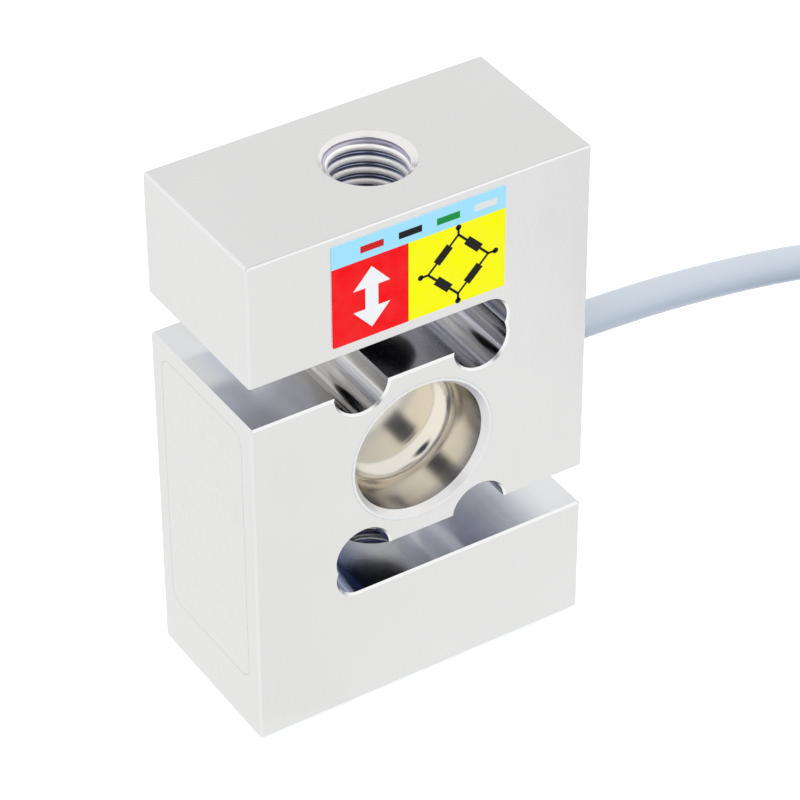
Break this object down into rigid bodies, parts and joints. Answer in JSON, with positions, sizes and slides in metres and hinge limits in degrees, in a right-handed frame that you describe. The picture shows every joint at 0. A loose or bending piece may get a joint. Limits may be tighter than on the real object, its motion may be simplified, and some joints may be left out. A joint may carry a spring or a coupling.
{
  "type": "s-type load cell",
  "caption": "Slotted S-shaped steel load cell with a thread at each end, sealed gauge bore, colour label and a coiled signal cable.",
  "frame": {"origin": "centre of the base face, on the axis of the two threads", "axes": "+Z along the load axis from the base to the labelled end, +Y away from the labelled front face, +X towards the cable"},
  "size_m": [0.1705, 0.0896, 0.0762],
  "materials": {
    "nickel_plated_steel": "satin nickel plate on alloy steel",
    "drawn_stainless": "bright drawn sheet",
    "gauge_backing": "amber film with etched metal grids",
    "terminal_backing": "film with tinned pads",
    "enamelled_copper": "enamelled",
    "board_laminate": "solder-masked laminate",
    "bonding_silicone": "soft cured",
    "chip_ceramic": "glazed ceramic with tinned caps",
    "cover_steel": "satin nickel plate",
    "seal_rubber": "matte",
    "gland_steel": "nickel plate",
    "cable_jacket": "smooth light grey-blue jacket",
    "tie_nylon": "natural nylon",
    "shrink_sleeve": "satin",
    "core_red": "smooth",
    "core_black": "smooth",
    "core_green": "smooth",
    "core_white": "smooth",
    "label_film": "printed film in fields of yellow, red and light blue"
  },
  "bodies": {
    "root": {"spring_element": "nickel_plated_steel", "front_sealing_cup": "drawn_stainless", "rear_sealing_cup": "drawn_stainless", "front_strain_gauge": "gauge_backing", "rear_strain_gauge": "gauge_backing", "front_solder_terminals": "terminal_backing", "rear_solder_terminals": "terminal_backing", "front_gauge_leads": "enamelled_copper", "rear_gauge_leads": "enamelled_copper", "board_lead_red": "core_red", "board_lead_black": "core_black", "board_lead_green": "core_green", "board_lead_white": "core_white", "compensation_board": "board_laminate", "board_bonding_pad": "bonding_silicone", "span_trim_resistor": "chip_ceramic", "zero_balance_resistor": "chip_ceramic", "supply_modulus_resistor": "chip_ceramic", "return_modulus_resistor": "chip_ceramic", "side_cover_plate": "cover_steel", "side_cover_gasket": "seal_rubber", "gland_seal": "seal_rubber", "gland_washer": "gland_steel", "gland_screw": "gland_steel", "signal_cable": "cable_jacket", "cable_coil": "cable_jacket", "coil_tie": "tie_nylon", "cable_end_sleeve": "shrink_sleeve", "flying_lead_red": "core_red", "flying_lead_black": "core_black", "flying_lead_green": "core_green", "flying_lead_white": "core_white", "rating_label": "label_film"}
  },
  "joints": []
}
